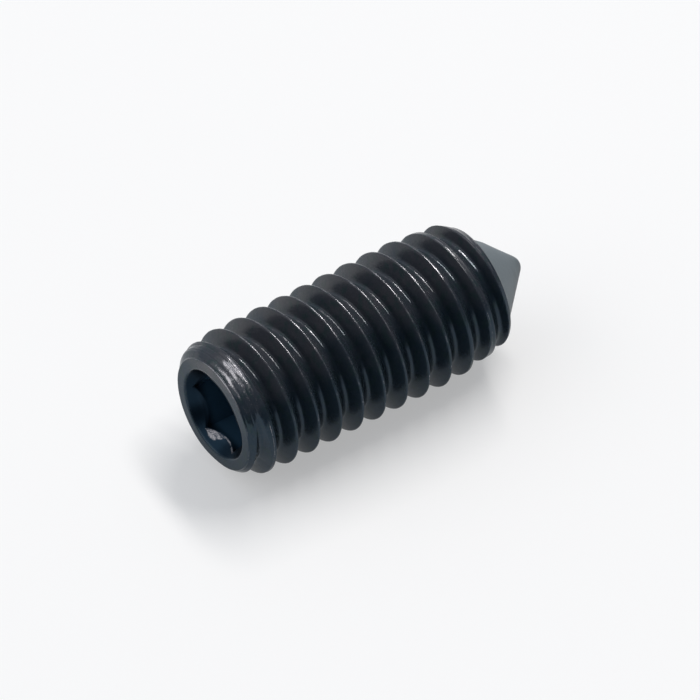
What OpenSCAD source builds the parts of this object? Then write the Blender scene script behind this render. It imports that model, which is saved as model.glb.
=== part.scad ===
// Grub screw: a headless set screw with a hexagon socket in one end and a cone point on the other.
// It lies on its thread crests with its axis along X, the socket towards -X and the point towards +X.
// Distances along the screw are measured from the flat face of the socket end.

/* [Thread] */
// Diameter over the thread crests
major_d = 4; // [3.8:0.1:6]
// Distance that one turn of the thread moves along the screw
pitch = 0.7; // [0.5:0.05:0.8]
// Angle between the two flanks of the thread groove
flank_angle = 60; // [55:1:65]
// Width of the flat left on each crest
crest_flat = 0.0875; // [0.05:0.0125:0.15]
// Radius of the rounded bottom of the groove
root_radius = 0.1; // [0.04:0.01:0.12]
// Distance from the socket face to the first crest, along the side that the screw lies on
crest_start = 0.1; // [0:0.05:0.45]
// Distance from the socket face at which the groove reaches its full depth
full_groove_start = 0.32; // [0.25:0.01:0.6]
// Length over which the groove fades in before that
groove_fade_length = 0.22; // [0.1:0.02:0.24]

/* [Body] */
// Length from the socket face to the tip
length = 9.75; // [7:0.25:16]
// How far below the crests the rim of the socket face lies
face_drop = 0.41; // [0.3:0.01:0.42]
// How far below the crests the end chamfer stops
chamfer_drop = 0.09; // [0.05:0.01:0.2]
// Length of the end chamfer
chamfer_length = 0.41; // [0.3:0.01:0.8]
// Distance from the socket face at which the crests reach their full height
full_crest_start = 0.96; // [0.9:0.02:1.5]
// Length over which the crests fall to the last one
crest_fall_length = 1.65; // [0.7:0.05:3]
// How far below the full crests the last crest lies
last_crest_drop = 0.135; // [0.05:0.005:0.25]
// Depth of the slight flat that lets the screw lie on its crests without rolling
rest_flat = 0.008; // [0.004:0.001:0.02]

/* [Point] */
// Angle between opposite sides of the cone point
point_angle = 90; // [80:1:100]
// Radius of the rounded tip of the cone
tip_radius = 0.32; // [0.1:0.02:0.5]
// How far below the crests the base of the cone lies
point_drop = 0.52; // [0.45:0.01:0.8]
// Length of the shoulder between the last crest and the base of the cone
shoulder_length = 0.25; // [0.1:0.01:0.4]

/* [Socket] */
// Distance between opposite flats of the hexagon
socket_flats = 2; // [1.5:0.05:2.3]
// Depth of the hexagon below the socket face
socket_depth = 2.5; // [1.5:0.1:4]
// Angle of the hexagon about the axis of the screw
socket_turn = 28.7; // [0:0.1:60]
// How far the countersunk mouth reaches past the corners of the hexagon
mouth_margin = 0.145; // [0.05:0.005:0.2]
// Angle of the countersunk mouth
mouth_angle = 90; // [80:1:120]
// Angle of the drill point at the bottom of the socket
drill_angle = 120; // [90:1:140]

/* [Hidden] */

// Steps in one turn of the groove, in the rounded bottom of its section, and round a full circle
turn_steps = 48;
root_steps = 4;
circle_steps = 96;
// Spare length and radius that carry a cut past the surface it leaves
cut_spare = 0.02;

crest_r = major_d / 2;
half_flank = flank_angle / 2;
groove_half_width = (pitch - crest_flat) / 2;
// Radius at which the rounded bottom of the groove is centred, so that it meets both flanks
root_centre_r = crest_r - groove_half_width / tan(half_flank) + root_radius / sin(half_flank);
groove_depth = crest_r - root_centre_r + root_radius;

half_point = point_angle / 2;
point_base_r = crest_r - point_drop;
tip_centre_x = length - tip_radius;
apex_x = tip_centre_x + tip_radius / sin(half_point);
point_base_x = apex_x - point_base_r / tan(half_point);
last_crest_x = point_base_x - shoulder_length;

drill_r = socket_flats / 2;
corner_r = drill_r / cos(30);
mouth_r = corner_r + mouth_margin;

// The blank before the thread and the socket are cut: face, end chamfer, crests, shoulder and cone,
// turned about the axis, with a round tip
module blank() {
    rotate_extrude($fn = circle_steps) {
        polygon([
            [0, 0],
            [crest_r - face_drop, 0],
            [crest_r - chamfer_drop, chamfer_length],
            [crest_r, full_crest_start],
            [crest_r, last_crest_x - crest_fall_length],
            [crest_r - last_crest_drop, last_crest_x],
            [point_base_r, point_base_x],
            [tip_radius * cos(half_point), tip_centre_x + tip_radius * sin(half_point)],
            [0, tip_centre_x]
        ]);
        intersection() {
            translate([0, tip_centre_x]) circle(r = tip_radius, $fn = circle_steps);
            translate([0, tip_centre_x]) square(tip_radius);
        }
    }
}

// Section of the groove about its own centre line, as [radius, distance along the screw].
// The flanks run on past the crests by the spare radius.
function groove_section() =
    let (
        outer_r = crest_r + cut_spare,
        outer_half_width = groove_half_width + cut_spare * tan(half_flank),
        arc_half_angle = 90 - half_flank
    )
    concat(
        [[outer_r, -outer_half_width]],
        [
            for (i = [0 : root_steps])
                let (a = arc_half_angle * (2 * i / root_steps - 1))
                [root_centre_r - root_radius * cos(a), root_radius * sin(a)]
        ],
        [[outer_r, outer_half_width]]
    );

// How far the groove is lifted towards the crests where its centre line is at distance x
function groove_lift(x) =
    groove_depth * max(0, min(1, (full_groove_start - x) / groove_fade_length));

// Turns of the groove from the side that the screw lies on to where its centre line is at x
function turns_to(x) = (x - crest_start) / pitch - 1 / 2;

// The helical groove of a right-hand thread as a solid: one section of it for each step.
// A flat of the stepped helix faces the side that the screw lies on.
module groove() {
    section = groove_section();
    corners = len(section);
    first_step = floor(turns_to(full_groove_start - groove_fade_length) * turn_steps);
    last_step = ceil(turns_to(point_base_x + pitch) * turn_steps);
    points = [
        for (step = [first_step : last_step])
            let (
                turn = (step + 1 / 2) / turn_steps,
                x = crest_start + pitch * (turn + 1 / 2),
                lift = groove_lift(x)
            )
            for (corner = section)
                let (r = corner[0] + lift)
                [r * cos(360 * turn), r * sin(360 * turn), x + corner[1]]
    ];
    end = len(points) - corners;
    faces = concat(
        [[for (k = [0 : corners - 1]) k]],
        [
            for (here = [0 : corners : end - 1])
                for (k = [0 : corners - 1])
                    let (next = here + corners, other = (k + 1) % corners)
                    each [
                        [here + k, next + k, next + other],
                        [here + k, next + other, here + other]
                    ]
        ],
        [[for (k = [corners - 1 : -1 : 0]) end + k]]
    );
    polyhedron(points = points, faces = faces);
}

// The hexagon socket as a solid, with its drill point and its countersunk mouth
module socket() {
    mouth_slope = tan(mouth_angle / 2);
    translate([0, 0, -cut_spare]) {
        rotate(socket_turn) cylinder(h = socket_depth + cut_spare, r = corner_r, $fn = 6);
        cylinder(
            h = mouth_r / mouth_slope + cut_spare,
            r1 = mouth_r + cut_spare * mouth_slope,
            r2 = 0,
            $fn = circle_steps
        );
    }
    translate([0, 0, socket_depth])
        cylinder(h = drill_r / tan(drill_angle / 2), r1 = drill_r, r2 = 0, $fn = circle_steps);
}

module set_screw() {
    color([0.16, 0.17, 0.19])
        translate([-length / 2, 0, crest_r - rest_flat])
            difference() {
                rotate([0, 90, 0])
                    difference() {
                        blank();
                        groove();
                        socket();
                    }
                // What the flat takes off the crests on the side that the screw lies on
                translate([0, -crest_r, -crest_r - rest_flat])
                    cube([length, major_d, 2 * rest_flat]);
            }
}

set_screw();
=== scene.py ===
"""Looks, light and camera for the grub screw.

Lengths are in millimetres up to the making of a mesh. In the screw's own axes X runs from the socket face to the
point, and a turn about the axis starts at the side that the screw lies on.
"""

import math

import bpy
import numpy as np
from mathutils import Matrix, Vector


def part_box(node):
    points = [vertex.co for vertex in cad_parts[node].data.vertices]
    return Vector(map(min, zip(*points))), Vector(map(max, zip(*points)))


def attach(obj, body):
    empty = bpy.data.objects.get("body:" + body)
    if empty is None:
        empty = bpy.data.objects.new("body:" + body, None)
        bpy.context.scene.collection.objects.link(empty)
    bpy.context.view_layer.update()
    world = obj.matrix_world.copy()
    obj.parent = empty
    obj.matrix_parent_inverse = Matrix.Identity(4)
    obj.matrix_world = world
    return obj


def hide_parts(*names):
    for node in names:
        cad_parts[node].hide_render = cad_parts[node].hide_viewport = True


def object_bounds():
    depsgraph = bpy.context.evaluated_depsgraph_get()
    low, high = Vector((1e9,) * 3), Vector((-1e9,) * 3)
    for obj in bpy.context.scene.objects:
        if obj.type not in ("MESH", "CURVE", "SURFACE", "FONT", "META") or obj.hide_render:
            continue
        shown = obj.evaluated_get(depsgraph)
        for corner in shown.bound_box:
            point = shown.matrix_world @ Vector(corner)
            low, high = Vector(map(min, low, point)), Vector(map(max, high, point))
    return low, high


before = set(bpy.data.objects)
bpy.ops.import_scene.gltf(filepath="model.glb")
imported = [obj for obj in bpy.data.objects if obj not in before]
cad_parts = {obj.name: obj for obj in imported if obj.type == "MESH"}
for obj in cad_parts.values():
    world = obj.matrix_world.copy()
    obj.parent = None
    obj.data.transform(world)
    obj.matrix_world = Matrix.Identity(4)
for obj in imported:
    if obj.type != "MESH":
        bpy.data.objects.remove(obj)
cad_low, cad_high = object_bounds()
MM = 0.001

# The box of the solid gives the crest radius, the axis and the length
box_low, box_high = (np.array(corner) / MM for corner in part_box("set_screw"))
CREST_R = (box_high[1] - box_low[1]) / 2
AXIS_Z = box_high[2] - CREST_R
FACE_X = box_low[0]
LENGTH = box_high[0] - box_low[0]

# Thread, as in the part's source. The groove's centre line starts half a pitch past the first crest.
PITCH = 0.7
CREST_START = 0.0975
GROOVE_START = CREST_START + PITCH / 2
FULL_GROOVE = 0.32
GROOVE_FADE = 0.22
GROOVE_DEPTH = 0.441
# Corners of the groove's section, as distance from its centre line and depth below the crests: a flank, the
# bottom, the other flank and a narrow crest, which leans a little towards the socket end
SECTION_Q = [-0.35, -0.105, -0.045, 0.006, 0.07, 0.1, 0.135, 0.296, 0.33, 0.35]
SECTION_DEPTH = [0.02, 0.375, 0.422, 0.437, 0.437, 0.422, 0.375, 0, 0, 0.02]
BOTTOM_Q = 0.038
CREST_Q = 0.312

# Body and point
RIM_R = CREST_R - 0.41
CHAMFER_R = CREST_R - 0.09
CHAMFER_X = 0.41
FULL_CREST_X = 0.96
TIP_R = 0.32
TIP_CENTRE_X = LENGTH - TIP_R
POINT_BASE_R = CREST_R - 0.52
APEX_X = LENGTH + TIP_R * (math.sqrt(2) - 1)
POINT_BASE_X = APEX_X - POINT_BASE_R
SHOULDER_X = POINT_BASE_X - 0.14
SHOULDER_R = CREST_R - 0.24
LAST_CREST_X = POINT_BASE_X - 0.31
LAST_CREST_R = CREST_R - 0.15
CREST_FALL = 1.65

# Socket. Its mouth is a countersink, cut shallow outside the lip on the side towards the camera.
FLAT_R = 1.0
SOCKET_TURN = 28.7
SOCKET_DEPTH = 2.5
DRILL_DEPTH = FLAT_R / math.tan(math.radians(60))
MOUTH_R = FLAT_R / math.cos(math.radians(30)) + 0.145
MOUTH_SLOPE = 1.27
SHALLOW_SLOPE = 0.13
LIP_R = 1.19

# How far the edges of the rim, of the mouth and of the hexagon's walls are rounded
RIM_ROUND = 0.015
MOUTH_ROUND = 0.022
WALL_ROUND = 0.03
WALL_REACH = 0.02

# Turning marks on the end chamfer: distance from the face, depth and width
TURNING_MARKS = [
    (0.19, 0.011, 0.016),
    (0.335, 0.012, 0.014),
    (0.048, 0.011, 0.012),
    (0.25, 0.005, 0.01),
    (0.43, 0.006, 0.01),
]
# Bands in which the end chamfer shows bright steel, rubbed and, on the lit side, painted highlight: distance from the
# face, strength and width
RUBBED_AND_HIGHLIGHT_BANDS = [(0.13, 1, 0.07), (0.27, 1, 0.045), (0.36, 0.8, 0.06), (0.44, 1, 0.04)]

# Columns round the axis, and the distances between which the rows follow the helix. Plain rings make the rest.
COLUMNS = 168
TURNS = SOCKET_TURN / 360 + np.arange(COLUMNS) / COLUMNS
BAND_START = 0.62
BAND_END = 7.5
CONE_START = 8.75
START_STEP = 0.01
END_STEP = 0.0125
# Places of the rows in one pitch, which are closer together where the section bends
ROW_Q = np.array(
    [-0.338, -0.325, -0.31, -0.29, -0.26, -0.22, -0.17, -0.13, -0.1, -0.08, -0.055, -0.03, -0.01, 0.01, 0.03]
    + [0.055, 0.08, 0.1, 0.12, 0.15, 0.19, 0.23, 0.26, 0.278, 0.29, 0.302, 0.314, 0.326, 0.338, 0.35]
)


def smooth_min(a, b, reach):
    """The lesser of a and b, rounded where they differ by less than reach: the lesser minus
    (reach - difference) squared over four times reach."""
    h = np.maximum(reach - np.abs(a - b), 0)
    return np.minimum(a, b) - h * h / (4 * reach)


def bell(value, middle, width):
    """1 at the middle, falling away like a bell over the width."""
    return np.exp(-(((value - middle) / width) ** 2))


def rise(value, start, length):
    """0 before the start, growing evenly to 1 over the length. With a negative length it falls to 0 at the start."""
    return np.clip((value - start) / length, 0, 1)


def waves(points, length, seed, count=14):
    """Smooth noise, mostly from -1 to 1: the sum of plane sine waves of about the given length, in fixed directions,
    over the root of their count."""
    rng = np.random.default_rng(seed)
    ways = rng.normal(size=(count, 3))
    ways /= np.linalg.norm(ways, axis=1)[:, None]
    ways *= 2 * np.pi / length * rng.uniform(0.6, 1.6, count)[:, None]
    phase = rng.uniform(0, 2 * np.pi, count)
    total = sum(np.sin(points @ way + shift) for way, shift in zip(ways, phase))
    return total / math.sqrt(count)


def photo_angle(turn):
    """Angle about the axis from the side that the camera looks at, in degrees from -180 to 180."""
    return (360 * turn - 219.7 + 180) % 360 - 180


def hexagon_radius(turn):
    """Radius of the hexagon: the flat's distance from the axis over the cosine of the angle from its middle."""
    return FLAT_R / np.cos(np.radians((360 * turn - SOCKET_TURN) % 60 - 30))


def blank_radius(x):
    """The turned blank: end chamfer, slow rise to full crests, fall to the last one, shoulder, cone and round tip."""
    body = np.interp(
        x,
        [0, CHAMFER_X, FULL_CREST_X, LAST_CREST_X - CREST_FALL, LAST_CREST_X, SHOULDER_X, POINT_BASE_X],
        [RIM_R, CHAMFER_R, CREST_R, CREST_R, LAST_CREST_R, SHOULDER_R, POINT_BASE_R],
    )
    cone = np.where(x > POINT_BASE_X, APEX_X - x, np.inf)
    ball = np.sqrt(np.maximum(TIP_R**2 - np.maximum(x - TIP_CENTRE_X, 0) ** 2, 0))
    tip = np.where(x > TIP_CENTRE_X + TIP_R / math.sqrt(2), ball, np.inf)
    return np.minimum(np.minimum(body, cone), tip)


def section_table():
    """Depth of the thread's section over one pitch: straight lines between its corners, drawn through a narrow
    bell-shaped running mean that rounds each corner."""
    q = np.linspace(-PITCH / 2, PITCH / 2, 701)
    depth = np.interp(q, SECTION_Q, SECTION_DEPTH)
    mean = np.exp(-((np.arange(-40, 41) / 13) ** 2))
    loop = np.concatenate([depth[-41:-1], depth, depth[1:41]])
    return q, np.convolve(loop, mean / mean.sum(), "valid")


TABLE_Q, TABLE_DEPTH = section_table()


def groove_radius(turn, x):
    """The helical groove: its section about the nearest turn of its centre line, lifted where it fades in at the
    socket end."""
    centre = GROOVE_START + PITCH * (turn + np.round((x - GROOVE_START) / PITCH - turn))
    lift = GROOVE_DEPTH * rise(centre, FULL_GROOVE, -GROOVE_FADE)
    return CREST_R - np.interp(x - centre, TABLE_Q, TABLE_DEPTH) + lift


def knock(angle):
    """Depth of the knock on the rim."""
    return 0.05 * bell(angle, 135, 24)


def outside(turn, x):
    """Radius of the outer surface at a turn about the axis and a distance from the face: the lesser of the blank and
    the groove, with turning marks and a bulge on the end chamfer, a knock on the rim, a lower last ridge and slight
    waves."""
    turn, x = np.broadcast_arrays(turn, x)
    angle = photo_angle(turn)
    a = 2 * np.pi * turn
    points = np.stack([x, 1.7 * np.sin(a), -1.7 * np.cos(a)], -1)
    marks = sum(depth * bell(x, at, width) for at, depth, width in TURNING_MARKS)
    bulge = 0.075 * bell(angle, -98, 32) * bell(x, 0.18, 0.09)
    blank = blank_radius(x) - marks * (1 + 0.4 * waves(points, 0.9, 7)) - knock(angle) * rise(x, 0.25, -0.25) + bulge
    low_above = 0.1 * bell(angle, -90, 38) * rise(x, 7.95, 0.2) * rise(x, 8.9, -0.3)
    low_below = 0.06 * bell(angle, 95, 40) * rise(x, 7.0, 0.6) * rise(x, 8.5, -0.2)
    r = smooth_min(blank - low_above - low_below, groove_radius(turn, x), 0.02)
    r = r - 0.0012 * (1 + waves(points, 0.7, 3)) - 0.001 * (1 + waves(points, 0.14, 5))
    return np.minimum(r, CREST_R)


def rings(x, r):
    """Closed rings of the surface, as points: a ring's distance from the face and its radius, at each column. The
    radius is turned about the axis by the column's angle."""
    x, r, a = np.broadcast_arrays(x, r, 2 * np.pi * TURNS)
    return np.stack([x, r * np.sin(a), -r * np.cos(a)], -1).reshape(-1, COLUMNS, 3)


def steps(*values):
    """Numbers as a column, one for each ring."""
    return np.array(values)[:, None]


def inner_rings():
    """Rings from the bottom of the drill point out to the edge of the rim. The countersink runs at its slope from a
    circle on the face, and turns nearly flat outside the lip on the side where it was cut shallow. A parabola rounds
    the edge between it and the face, and the hexagon's walls bend outward before they reach it."""
    # 1 on the side towards the camera and 0 on the far side
    toward = rise(np.cos(np.radians(photo_angle(TURNS) + 11)), 0.35, 0.5)
    slope = MOUTH_SLOPE + (SHALLOW_SLOPE - MOUTH_SLOPE) * toward
    hexagon = hexagon_radius(TURNS)

    def depth(r):
        return slope * (MOUTH_R - np.maximum(r, LIP_R)) + MOUTH_SLOPE * np.maximum(LIP_R - r, 0)

    drill = np.linspace(0.08, 0.99, 8)[:, None]
    wall = steps(0.1, 0.25, 0.4, 0.55, 0.7, 0.82, 0.9, 0.95, 0.985)
    wall_end = depth(hexagon) + WALL_ROUND
    bend = steps(0.25, 0.6, 1)
    bend_depth = depth(hexagon) + WALL_ROUND * (1 - bend) ** 1.6 + MOUTH_SLOPE * WALL_REACH * (1 - bend**2)
    inner_r = hexagon + WALL_REACH
    steep_r = inner_r + (LIP_R - 0.012 - inner_r) * steps(0.15, 0.3, 0.45, 0.6, 0.75, 0.9, 1)
    outer_r = LIP_R + (MOUTH_R - MOUTH_ROUND - LIP_R) * steps(0.15, 0.4, 0.7)
    reach = MOUTH_ROUND * steps(-1, -0.5, 0, 0.5, 1)
    face_r = MOUTH_R + MOUTH_ROUND
    rim_r = RIM_R - RIM_ROUND - knock(photo_angle(TURNS))
    return np.concatenate([
        rings(SOCKET_DEPTH + DRILL_DEPTH * (1 - drill), FLAT_R * drill),
        rings(SOCKET_DEPTH, hexagon),
        rings(SOCKET_DEPTH + (wall_end - SOCKET_DEPTH) * wall, hexagon),
        rings(bend_depth, hexagon + WALL_REACH * bend**2),
        rings(depth(steep_r), steep_r),
        rings(depth(LIP_R) + 0.002, LIP_R),
        rings(depth(outer_r), outer_r),
        rings(slope * (MOUTH_ROUND - reach) ** 2 / (4 * MOUTH_ROUND), MOUTH_R + reach),
        rings(0, face_r + (rim_r - face_r) * np.linspace(0, 1, 6)[1:, None]),
    ])


def rim_rings():
    """Quarter round from the face to the outer surface."""
    base = outside(TURNS, RIM_ROUND) - RIM_ROUND
    t = np.radians(np.linspace(0, 90, 6))[1:-1, None]
    return rings(RIM_ROUND * (1 - np.cos(t)), base + RIM_ROUND * np.sin(t))


def band_rings(start, stop, step):
    """Rings of the outer surface at equal distances."""
    x = np.linspace(start, stop, round((stop - start) / step) + 1)[:, None]
    return rings(x, outside(TURNS, x))


def cone_rings():
    """Rings down the cone and then round the ball of the tip, to just before its pole."""
    x = np.linspace(CONE_START, TIP_CENTRE_X + TIP_R / math.sqrt(2), 24)[1:, None]
    t = np.radians(np.linspace(45, 3, 10))[1:, None]
    ball = rings(TIP_CENTRE_X + TIP_R * np.cos(t), TIP_R * np.sin(t) - 0.004)
    return np.concatenate([rings(x, outside(TURNS, x)), ball])


def ring_faces(ids):
    """Two triangles for each column between each ring of vertex numbers and the next."""
    here, below = ids[:-1], ids[1:]
    after, beside = np.roll(here, -1, axis=1), np.roll(below, -1, axis=1)
    faces = np.concatenate([np.stack([here, beside, below], -1), np.stack([here, after, beside], -1)])
    return faces.reshape(-1, 3)


def screw_surface():
    """The whole surface of the screw: plain rings at the two ends and, between them, rows that follow the helix. A
    row's distance from the face is its own start plus the pitch times the turn, held between the two end bands, so
    that a row's last column is the first column of the row one pitch further on."""
    start = np.concatenate([inner_rings(), rim_rings(), band_rings(RIM_ROUND, BAND_START, START_STEP)])
    end = np.concatenate([band_rings(BAND_END, CONE_START, END_STEP), cone_rings()])
    turns_before = math.floor((BAND_START - CREST_START - PITCH) / PITCH - TURNS[-1]) - 1
    turns_after = math.ceil((BAND_END - CREST_START) / PITCH - TURNS[0]) + 1
    row_x = (GROOVE_START + PITCH * np.arange(turns_before, turns_after)[:, None] + ROW_Q).reshape(-1, 1)
    x = np.clip(row_x + PITCH * TURNS, BAND_START, BAND_END)
    poles = np.array([[SOCKET_DEPTH + DRILL_DEPTH, 0, 0], [LENGTH - 0.004, 0, 0]])
    parts = [start.reshape(-1, 3), end.reshape(-1, 3), rings(x, outside(TURNS, x)).reshape(-1, 3), poles]
    points = np.concatenate(parts)

    cuts = np.cumsum([len(part) for part in parts])[:-1]
    start_ids, end_ids, ids, pole_ids = np.split(np.arange(len(points)), cuts)
    start_ids, end_ids, ids = (part.reshape(-1, COLUMNS) for part in (start_ids, end_ids, ids))
    ids = np.where(x <= BAND_START, start_ids[-1], ids)
    ids = np.where(x >= BAND_END, end_ids[0], ids)
    ids = np.concatenate([ids[: -len(ROW_Q)], ids[len(ROW_Q) :, :1]], axis=1)
    low, high = ids[:-1], ids[1:]
    first, last = start_ids[0], end_ids[-1]
    faces = np.concatenate([
        ring_faces(start_ids),
        ring_faces(end_ids),
        np.stack([low[:, :-1], high[:, 1:], high[:, :-1]], -1).reshape(-1, 3),
        np.stack([low[:, :-1], low[:, 1:], high[:, 1:]], -1).reshape(-1, 3),
        np.stack([np.full(COLUMNS, pole_ids[0]), np.roll(first, -1), first], -1),
        np.stack([last, np.roll(last, -1), np.full(COLUMNS, pole_ids[1])], -1),
    ])
    flat = (faces[:, 0] == faces[:, 1]) | (faces[:, 1] == faces[:, 2]) | (faces[:, 2] == faces[:, 0])
    used, faces = np.unique(faces[~flat], return_inverse=True)
    return points[used], faces.reshape(-1, 3)


def mesh_object(name, points, faces):
    """A mesh object from points in millimetres in the screw's own axes and triangles."""
    place = (points + [FACE_X, 0, AXIS_Z]) * MM
    place[:, 2] = np.maximum(place[:, 2], cad_low[2])
    mesh = bpy.data.meshes.new(name)
    mesh.vertices.add(len(place))
    mesh.vertices.foreach_set("co", place.ravel())
    mesh.loops.add(faces.size)
    mesh.loops.foreach_set("vertex_index", faces.ravel().astype(np.int32))
    mesh.polygons.add(len(faces))
    mesh.polygons.foreach_set("loop_start", np.arange(0, faces.size, 3, dtype=np.int32))
    mesh.polygons.foreach_set("use_smooth", np.ones(len(faces), dtype=bool))
    mesh.update(calc_edges=True)
    mesh.validate()
    mesh.set_sharp_from_angle(angle=math.radians(38))
    thing = bpy.data.objects.new(name, mesh)
    bpy.context.scene.collection.objects.link(thing)
    return thing


def add_attribute(thing, name, values):
    """A number for each point of a mesh object, for its material to read."""
    attribute = thing.data.attributes.new(name, "FLOAT", "POINT")
    attribute.data.foreach_set("value", values.astype(np.float32))


def place_on_thread(points):
    """Distance from the face, radius, turn and distance from the groove's nearest centre line, of each point."""
    x, y, z = points.T
    turn = np.arctan2(y, -z) / (2 * np.pi)
    q = x - GROOVE_START - PITCH * turn
    return x, np.hypot(y, z), turn, q - PITCH * np.round(q / PITCH)


def wear_and_highlight_parts(points):
    """How far each point shows bright steel, partly worn and partly painted highlight: the crests, more on the lit
    side, and the groove's bottom on the lit side only, which paint highlight lines; the end chamfer in its bands,
    more on the lit side; the edges of the rim, more on the lit side, and of the mouth;
    the crescent outside the hexagon and the thin line beside it; and the shoulder on the lit side, a painted
    highlight. Each is a product of bells and ramps, and the strongest one counts."""
    x, r, turn, q = place_on_thread(points)
    angle = photo_angle(turn)
    # The crests and the groove's bottom are brighter on the lit side, which paints highlight lines there
    crest = bell(q, CREST_Q, 0.022) * (r > CREST_R - 0.2) * (x > 0.5) * (0.58 + 0.42 * bell(angle, -27, 30))
    bottom = bell(q, BOTTOM_Q, 0.05) * (x > 0.5) * (x < SHOULDER_X) * bell(angle, -35, 35)
    chamfer = rise(x, 0.03, 0.03) * rise(x, 0.56, -0.1) * (r > RIM_R - 0.03)
    bands = sum(strength * bell(x, at, width) for at, strength, width in RUBBED_AND_HIGHLIGHT_BANDS)
    # The rubbed bands count more on the lit side: partly rubbing, partly painted highlight
    rubbed_and_highlight = chamfer * bands.clip(0, 1) * (bell(angle, -27, 17) + 0.48 * bell(angle, 2, 21)).clip(0, 1)
    rim = bell(np.hypot(x - 0.014, r - RIM_R - 0.004), 0, 0.022) * (0.5 + 0.8 * bell(angle, -22, 30))
    mouth = bell(np.hypot(x - 0.01, r - MOUTH_R), 0, 0.03) * (0.4 + 0.6 * bell(angle, 65, 35))
    past = np.where((r < MOUTH_R) & (x < 0.6), r - hexagon_radius(turn), np.inf)
    crescent = rise(past, 0.002, 0.012) * rise(past, 0.2 * bell(angle, 153, 15), -0.05) * (angle > 112)
    line = bell(past, 0.018, 0.016) * (np.abs(angle - 122) < 20) * (past > 0.002)
    shoulder = bell(x, 8.26, 0.08) * bell(angle, -50, 35)
    return np.maximum.reduce([
        0.8 * crest,
        0.56 * bottom,
        0.89 * rubbed_and_highlight,
        rim,
        0.6 * mouth,
        0.72 * crescent,
        0.8 * line,
        0.75 * shoulder,
    ])


def flank_parts(points):
    """1 on the flanks of the thread, falling like a bell to 0 at the middle of its rolled bottom and of its crests on
    the upper side."""
    x, _, turn, q = place_on_thread(points)
    polished = np.maximum(bell(q, 0.035, 0.06), bell(q, 0.315, 0.035))
    upper = rise(photo_angle(turn), 12, -20)
    return (1 - polished * upper) * (x > 0.5) * (x < POINT_BASE_X)


screw_points, screw_faces = screw_surface()
screw = mesh_object("black_set_screw", screw_points, screw_faces)
# Bright steel for the material: partly wear, partly painted highlight on the lit side
add_attribute(screw, "wear_and_highlight", wear_and_highlight_parts(screw_points))
add_attribute(screw, "flank", flank_parts(screw_points))


class Nodes:
    """A node tree, emptied, that nodes are added to."""

    def __init__(self, owner):
        owner.use_nodes = True
        self.tree = owner.node_tree
        self.tree.nodes.clear()

    def add(self, kind, settings, sockets, result=0):
        """Adds a node of a type, sets its settings, then the values or links of its sockets, and returns one of its
        outputs."""
        node = self.tree.nodes.new(kind)
        for name, value in settings.items():
            setattr(node, name, value)
        for name, value in sockets.items():
            if isinstance(value, Socket):
                self.tree.links.new(value.output, node.inputs[name])
            else:
                node.inputs[name].default_value = value
        return None if result is None else Socket(self, node.outputs[result])

    def shown_rays(self):
        """1 for rays that show a thing directly, in a mirror or through glass."""
        kinds = ("Is Camera Ray", "Is Glossy Ray", "Is Transmission Ray")
        camera, glossy, transmission = (self.add("ShaderNodeLightPath", {}, {}, kind) for kind in kinds)
        return camera + glossy + transmission


class Socket:
    """A node's output. An operator on it adds the Math node that works the expression out."""

    def __init__(self, nodes, output):
        self.nodes, self.output = nodes, output

    def math(self, operation, *values):
        return self.nodes.add("ShaderNodeMath", {"operation": operation}, dict(enumerate(values)))

    def __add__(self, other):
        return self.math("ADD", self, other)

    def __sub__(self, other):
        return self.math("SUBTRACT", self, other)

    def __rsub__(self, other):
        return self.math("SUBTRACT", other, self)

    def __mul__(self, other):
        return self.math("MULTIPLY", self, other)

    __radd__, __rmul__ = __add__, __mul__


def between_limits(value, low, high):
    """0 at low, 1 at high, also where high is the lesser, and a smooth step between."""
    settings = {"interpolation_type": "SMOOTHSTEP"}
    return value.nodes.add("ShaderNodeMapRange", settings, {"Value": value, "From Min": low, "From Max": high})


def blend(factor, low, high):
    """Colour between low and high by the factor."""
    return factor.nodes.add("ShaderNodeMix", {"data_type": "RGBA"}, {0: factor, "A": low, "B": high}, "Result")


# Colours of the oxide on the lower side and, as painted warm light, on the upper side, of its patches and of its
# grain
BLUE_BLACK = (0.021, 0.038, 0.056, 1)
BROWN_PAINTED_LIGHT = (0.043, 0.045, 0.055, 1)
TEAL_BLACK = (0.02, 0.042, 0.044, 1)
GREY_GRAIN = (0.05, 0.056, 0.066, 1)
# Colours of the cone, darker low as painted shade and lighter high as painted light, of the socket's mouth and of its
# walls, a lighter blue that paints light in, and of bright steel, partly worn and partly painted highlight
CONE_PAINTED_SHADE = (0.034, 0.044, 0.052, 1)
CONE_PAINTED_LIGHT = (0.108, 0.138, 0.155, 1)
MOUTH_BLACK = (0.009, 0.019, 0.031, 1)
WALL_PAINTED_FILL = (0.018, 0.048, 0.085, 1)
BRIGHT_STEEL_AND_HIGHLIGHT = (0.39, 0.38, 0.4, 1)
# Tint of the gloss, which keeps surfaces seen edge-on from turning white
EDGE_TINT = (0.6, 0.61, 0.62, 1)


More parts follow.
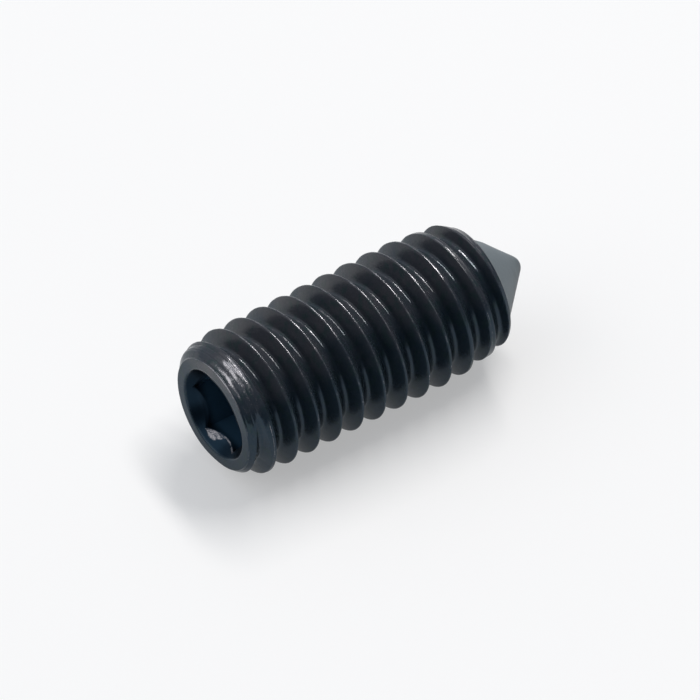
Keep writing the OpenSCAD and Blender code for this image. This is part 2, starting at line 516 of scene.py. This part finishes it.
def black_oxide():
    """Black oxide on steel: blue-black below and browner above, the brown being painted warm light, with patches and
    grain;
    a grey-green cone with painted shade low and painted light high; a socket darker at its mouth, its walls a lighter
    blue that paints light into it; and bright steel where the wear and highlight attribute, broken up by specks and
    streaks along the thread, is high: partly worn metal, partly painted highlight on the lit side."""
    material = bpy.data.materials.new("black_oxide_steel_looks")
    nodes = Nodes(material)
    place = nodes.add("ShaderNodeTexCoord", {}, {}, "Object")
    wear_and_highlight = nodes.add("ShaderNodeAttribute", {"attribute_name": "wear_and_highlight"}, {}, "Fac")
    flank = nodes.add("ShaderNodeAttribute", {"attribute_name": "flank"}, {}, "Fac")

    def noise(where, scale, detail):
        """Noise with its scale in features for each millimetre."""
        return nodes.add("ShaderNodeTexNoise", {}, {"Vector": where, "Scale": scale / MM, "Detail": detail})

    cloud = noise(place, 1.3, 3)
    patch = noise(place, 4.5, 4)
    grain = noise(place, 22, 4)
    speck = noise(place, 34, 2)
    stretched = nodes.add("ShaderNodeVectorMath", {"operation": "MULTIPLY"}, {0: place, 1: (1, 0.14, 0.14)})
    streak = noise(stretched, 20, 3)
    along = nodes.add("ShaderNodeSeparateXYZ", {}, {0: place}, "X") * (1 / MM)
    high = nodes.add("ShaderNodeSeparateXYZ", {}, {0: place}, "Z") * (1 / MM)
    from_axis = {0: place, 1: (0, 1, 1), 2: (0, 0, -AXIS_Z * MM)}
    across = nodes.add("ShaderNodeVectorMath", {"operation": "MULTIPLY_ADD"}, from_axis)
    axis_distance = nodes.add("ShaderNodeVectorMath", {"operation": "LENGTH"}, {0: across}, "Value")

    # Painted light: the upper side turns browner, as warm light falling from above would make it
    upper = between_limits(high + cloud * 1.6, 3.4, 4.7)
    cone = between_limits(along + between_limits(high, 2.6, 3.5) * 0.12, FACE_X + 8.36, FACE_X + 8.46)
    inside = between_limits(axis_distance, 1.29 * MM, 1.25 * MM) * (1 - cone)
    deep = between_limits(along, FACE_X + 0.2, FACE_X + 0.6)
    # Bright steel where the wear and highlight attribute, specks and streaks are high: partly worn metal, partly
    # painted highlight on the lit side
    bare_and_highlight = between_limits(wear_and_highlight * 0.7 + speck * 0.6 + streak * 0.8, 1.04, 1.36)

    oxide = blend(upper, BLUE_BLACK, BROWN_PAINTED_LIGHT)
    oxide = blend(between_limits(patch, 0.47, 0.66) * 0.6, oxide, TEAL_BLACK)
    oxide = blend(between_limits(grain, 0.45, 0.75) * 0.5, oxide, GREY_GRAIN)
    # Painted shade and light on the cone: darker low down and lighter high up
    oxide = blend(cone, oxide, blend(between_limits(high + streak * 0.8, 1.7, 3.1), CONE_PAINTED_SHADE, CONE_PAINTED_LIGHT))
    # Inside the socket: darker at its mouth, and a lighter blue on the walls deeper in, which paints in light that
    # does not reach there
    oxide = blend(inside, oxide, blend(deep, MOUTH_BLACK, WALL_PAINTED_FILL))
    colour = blend(bare_and_highlight, oxide, BRIGHT_STEEL_AND_HIGHLIGHT)
    metal = bare_and_highlight + (1 - bare_and_highlight) * (inside * (1 - deep) + (1 - inside) * (1 - upper) * (1 - cone) * 0.5)
    rough = 0.085 + grain * 0.08 + flank * 0.13 + bare_and_highlight * 0.14 + cone * 0.35 + inside * 0.2
    relief = {"Strength": 0.42, "Distance": 0.003 * MM, "Height": grain * 0.6 + speck * 0.4}
    surface = nodes.add(
        "ShaderNodeBsdfPrincipled",
        {},
        {
            "Base Color": colour,
            "Metallic": metal,
            "Roughness": rough,
            "IOR": 1.4,
            "Specular Tint": EDGE_TINT,
            "Normal": nodes.add("ShaderNodeBump", {}, relief, "Normal"),
        },
    )
    nodes.add("ShaderNodeOutputMaterial", {}, {"Surface": surface}, None)
    return material


screw.data.materials.append(black_oxide())

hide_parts("set_screw")
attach(screw, "root")

# Pale floor. To the rays that show it, two fifths of it are plain white.
SIDE = 2.5
floor_mesh = bpy.data.meshes.new("pale_floor")
floor_mesh.from_pydata([(-SIDE, -SIDE, 0), (SIDE, -SIDE, 0), (SIDE, SIDE, 0), (-SIDE, SIDE, 0)], [], [(0, 1, 2, 3)])
floor = bpy.data.objects.new("pale_floor", floor_mesh)
bpy.context.scene.collection.objects.link(floor)
floor.location[2] = cad_low[2]
pale = bpy.data.materials.new("pale_floor")
nodes = Nodes(pale)
paint = nodes.add("ShaderNodeBsdfDiffuse", {}, {"Color": (0.93, 0.93, 0.93, 1)})
glow = nodes.add("ShaderNodeEmission", {}, {"Color": (1, 1, 1, 1), "Strength": 1})
surface = nodes.add("ShaderNodeMixShader", {}, {0: nodes.shown_rays() * 0.4, 1: paint, 2: glow})
nodes.add("ShaderNodeOutputMaterial", {}, {"Surface": surface}, None)
floor_mesh.materials.append(pale)

WARM = (1, 0.97, 0.94)
LAMP_DISTANCE = 0.5


def softbox(name, way, along, width, height, radiance):
    """A rectangular light that hangs in a direction from the screw's middle and faces it, with its height along the
    given direction. Its power is its radiance times its area times pi."""
    light = bpy.data.lights.new(name, "AREA")
    light.shape = "RECTANGLE"
    light.size, light.size_y = width, height
    light.energy = radiance * width * height * math.pi
    light.color = WARM
    lamp = bpy.data.objects.new(name, light)
    back = Vector(way).normalized()
    side = Vector(along).cross(back).normalized()
    turned = Matrix((side, back.cross(side), back)).transposed().to_4x4()
    lamp.matrix_world = Matrix.Translation(Vector((0, 0, AXIS_Z * MM)) + back * LAMP_DISTANCE) @ turned
    bpy.context.scene.collection.objects.link(lamp)


# The strip draws the bright lines on the crests and in the bottom of the groove, and the panel lights the chamfer
softbox("rear_strip", (0.437, 0.175, 0.882), (0, 0.981, -0.195), 0.07, 0.44, 18.5)
softbox("left_panel", (-0.70, 0.25, 0.62), (0.3, 1, 0), 0.3, 0.6, 1.0)

# World: a studio that is bright behind the screw and dim towards the camera, and pale below the floor
STUDIO_FRONT = (0.05, 0.062, 0.08, 1)
STUDIO_BACK = (0.50, 0.54, 0.595, 1)
BELOW_FLOOR = (0.93, 0.94, 0.95, 1)
world = bpy.data.worlds.new("studio")
bpy.context.scene.world = world
nodes = Nodes(world)
way = nodes.add("ShaderNodeTexCoord", {}, {}, "Generated")
toward = nodes.add("ShaderNodeVectorMath", {"operation": "DOT_PRODUCT"}, {0: way, 1: (-0.2, 0.85, 0.49)}, "Value")
below = between_limits(nodes.add("ShaderNodeSeparateXYZ", {}, {0: way}, "Z"), 0, -0.01)
sky = blend(between_limits(toward, -0.4, 0.95), STUDIO_FRONT, STUDIO_BACK)
sky = blend(below * nodes.shown_rays(), sky, BELOW_FLOOR)
light = nodes.add("ShaderNodeBackground", {}, {"Color": sky, "Strength": 1})
nodes.add("ShaderNodeOutputWorld", {}, {"Surface": light}, None)

# Camera: the photograph's right and back directions, its scale in pixels for each millimetre, and the pixel at
# which the middle of the socket face lies
BACK = Vector((-0.4149, -0.5817, 0.6997)).normalized()
RIGHT = Vector((0.8144, -0.5803, 0.0003))
PIXELS, SCALE = 700, 38.475
FACE_PIXEL = (213.08, 414.92)
CAMERA_DISTANCE = 0.1
up = BACK.cross(RIGHT).normalized()
right = up.cross(BACK).normalized()
face = Vector((FACE_X, 0, AXIS_Z)) * MM
aim = face + ((PIXELS / 2 - FACE_PIXEL[0]) * right - (PIXELS / 2 - FACE_PIXEL[1]) * up) * (MM / SCALE)
camera_data = bpy.data.cameras.new("camera")
camera_data.type = "ORTHO"
camera_data.ortho_scale = PIXELS / SCALE * MM
camera_data.clip_start = 0.001
camera_data.clip_end = 10
camera = bpy.data.objects.new("camera", camera_data)
turned = Matrix((right, up, BACK)).transposed().to_4x4()
camera.matrix_world = Matrix.Translation(aim + BACK * CAMERA_DISTANCE) @ turned
bpy.context.scene.collection.objects.link(camera)
bpy.context.scene.camera = camera
bpy.context.scene.view_settings.view_transform = "Standard"
